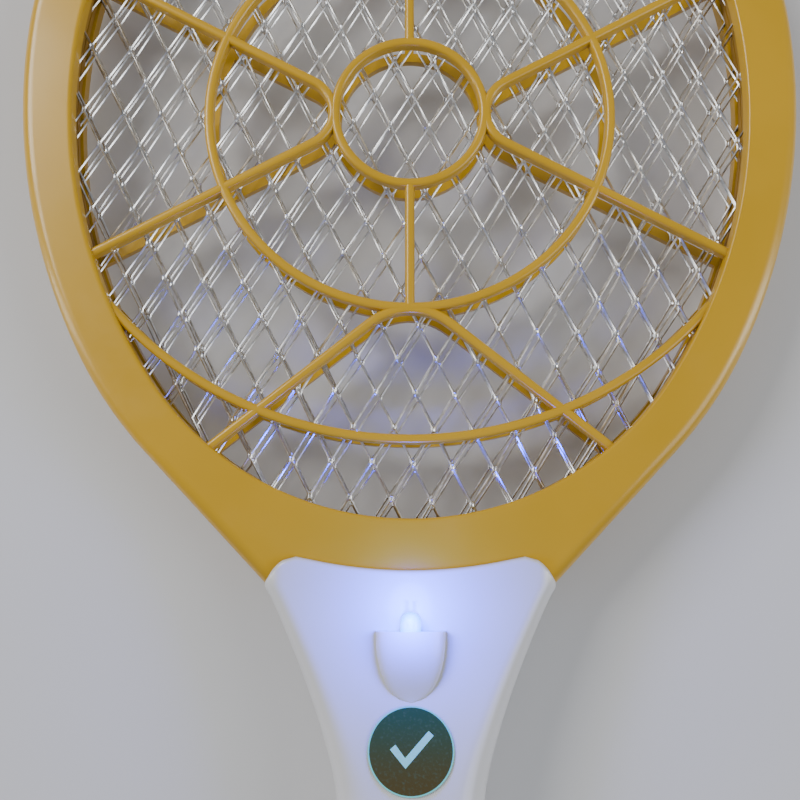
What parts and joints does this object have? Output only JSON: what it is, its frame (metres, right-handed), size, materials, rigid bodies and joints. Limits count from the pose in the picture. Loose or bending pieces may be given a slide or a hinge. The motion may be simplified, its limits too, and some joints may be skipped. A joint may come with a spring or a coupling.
{
  "type": "electric fly swatter",
  "caption": "Battery racket for killing flying insects: oval web-ribbed head over wire meshes, torch at the neck, grip with push button, slide switch and slide-out mains plug.",
  "frame": {"origin": "middle of the racket's footprint on the surface that it lies on, back down", "axes": "+X across the head, +Y along the racket from the handle towards the tip of the head, +Z out of the front face"},
  "size_m": [0.2106, 0.499, 0.0324],
  "materials": {
    "head_yellow": "gloss moulding, amber yellow",
    "mesh_metal": "bright expanded sheet",
    "spacer_amber": "matt moulding",
    "handle_white": "gloss moulding",
    "control_amber": "gloss moulding",
    "label_film": "printed metallic film",
    "lamp_clear": "clear epoxy, lit",
    "lamp_red": "tinted epoxy",
    "lead_red": "insulated wire",
    "lead_black": "insulated wire",
    "lead_blue": "insulated wire",
    "screw_steel": "zinc plated",
    "spring_steel": "drawn wire",
    "tin_plate": "tinned sheet",
    "component_black": "moulded",
    "plunger_cream": "moulded",
    "board_green": "solder mask",
    "ferrite_grey": "sintered",
    "winding_tape": "film tape",
    "capacitor_brown": "dipped",
    "capacitor_yellow": "moulded",
    "resistor_tan": "dipped",
    "battery_grey": "moulded case",
    "pin_nickel": "nickel plated",
    "contact_brass": "sprung strip"
  },
  "bodies": {
    "racket": {"head_front_frame": "head_yellow", "head_rear_frame": "head_yellow", "front_mesh": "mesh_metal", "centre_mesh": "mesh_metal", "rear_mesh": "mesh_metal", "front_spacer_ring": "spacer_amber", "rear_spacer_ring": "spacer_amber", "mesh_leads": "lead_red", "handle_front_shell": "handle_white", "handle_rear_shell": "handle_white", "handle_screws": "screw_steel", "inspection_label": "label_film", "torch_lamp": "lamp_clear", "torch_leads": "lead_black", "charge_lamp": "lamp_red", "button_spring": "spring_steel", "push_switch_body": "component_black", "slide_switch_case": "tin_plate", "circuit_board": "board_green", "transformer_core": "ferrite_grey", "transformer_winding": "winding_tape", "storage_capacitor": "capacitor_brown", "dropper_capacitor": "capacitor_yellow", "rectifier_diodes": "component_black", "resistors": "resistor_tan", "oscillator_transistor": "component_black", "battery": "battery_grey", "battery_terminals": "tin_plate", "battery_leads": "lead_red", "plug_contacts": "contact_brass", "plug_leads": "lead_blue"},
    "zap_button": {"zap_button": "control_amber"},
    "switch_plunger": {"push_switch_plunger": "plunger_cream"},
    "power_switch": {"switch_knob": "control_amber", "slide_switch_lever": "component_black"},
    "charging_plug": {"plug_carrier": "control_amber", "plug_pins": "pin_nickel"}
  },
  "joints": [
    {"name": "zap_press", "type": "slide", "parent": "racket", "child": "zap_button", "axis": [0, 0, -1], "range_m": [0, 0.0015], "stiffness_N_per_m": 350, "springref_m": -0.0008, "deforming": ["button_spring"]},
    {"name": "plunger_press", "type": "slide", "parent": "racket", "child": "switch_plunger", "axis": [0, 0, -1], "range_m": [0, 0.0015]},
    {"name": "power_slide", "type": "slide", "parent": "racket", "child": "power_switch", "axis": [0, 1, 0], "range_m": [-0.003, 0.003]},
    {"name": "plug_slide", "type": "slide", "parent": "racket", "child": "charging_plug", "axis": [0, -1, 0], "range_m": [0, 0.0215]}
  ],
  "couplings": [
    {"joint": "plunger_press", "follows": "zap_press", "ratio": 1}
  ]
}
